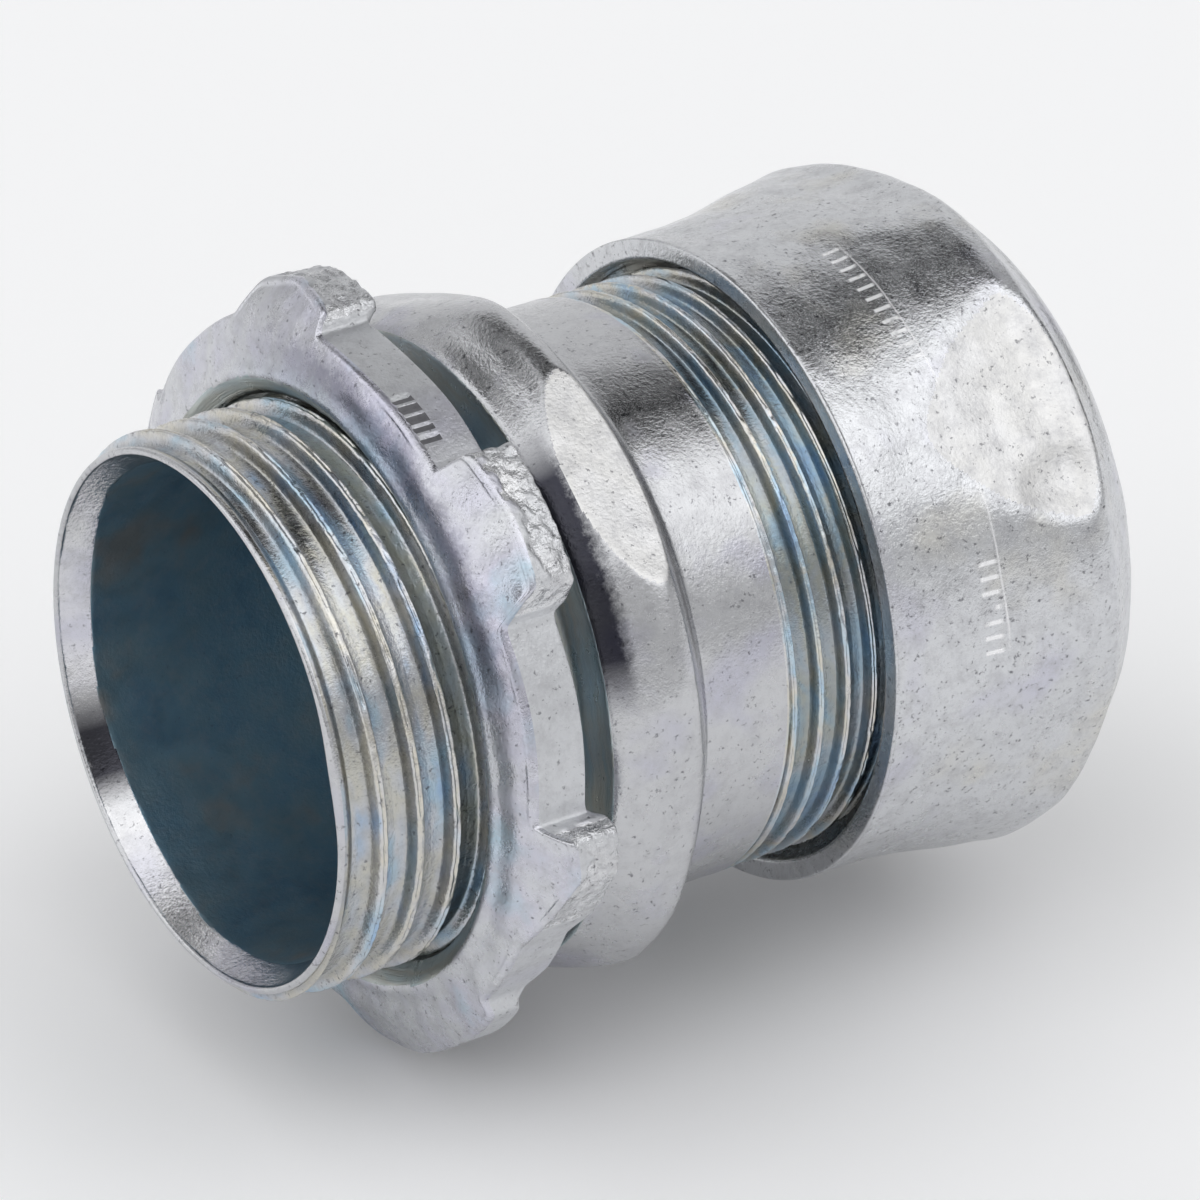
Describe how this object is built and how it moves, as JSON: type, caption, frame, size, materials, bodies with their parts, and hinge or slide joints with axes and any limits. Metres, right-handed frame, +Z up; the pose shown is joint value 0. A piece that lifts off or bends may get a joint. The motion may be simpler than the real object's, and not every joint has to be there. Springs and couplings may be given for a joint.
{
  "type": "conduit compression fitting",
  "caption": "Threaded steel connector that clamps a thin-wall conduit with a gland nut and split ring, and clamps to a box wall with a lugged locknut.",
  "frame": {"origin": "midway along the fitting, straight under its axis, on the level of the lowest locknut lug", "axes": "+X along the fitting's axis from the box-side mouth to the gland nut, +Z up with the fitting lying on its side"},
  "size_m": [0.041, 0.036, 0.036],
  "materials": {
    "body_zinc": "bright zinc plate with a faint blue tint, turned and rolled",
    "locknut_zinc": "bright zinc plate over stamped steel, slightly matt",
    "nut_zinc": "bright zinc plate over a drawn, slightly pitted surface",
    "ring_zinc": "zinc plate, plain"
  },
  "bodies": {
    "connector_body": {"connector_body": "body_zinc"},
    "locknut": {"locknut": "locknut_zinc"},
    "compression_ring": {"compression_ring": "ring_zinc"},
    "gland_nut": {"gland_nut": "nut_zinc"}
  },
  "joints": [
    {"name": "ring_slide", "type": "slide", "parent": "connector_body", "child": "compression_ring", "axis": [1, 0, 0], "range_m": [-0.0012, 0.0042]},
    {"name": "gland_nut_turn", "type": "hinge", "parent": "compression_ring", "child": "gland_nut", "pos_m": [0, 0, 0.018], "axis": [1, 0, 0], "range_deg": [-306.2, 1071.6]},
    {"name": "locknut_turn", "type": "hinge", "parent": "connector_body", "child": "locknut", "pos_m": [-0.012, 0, 0.018], "axis": [1, 0, 0], "range_deg": [-1250, 350]}
  ],
  "couplings": [
    {"joint": "gland_nut_turn", "follows": "ring_slide", "rad_per_m": 4452.7}
  ]
}
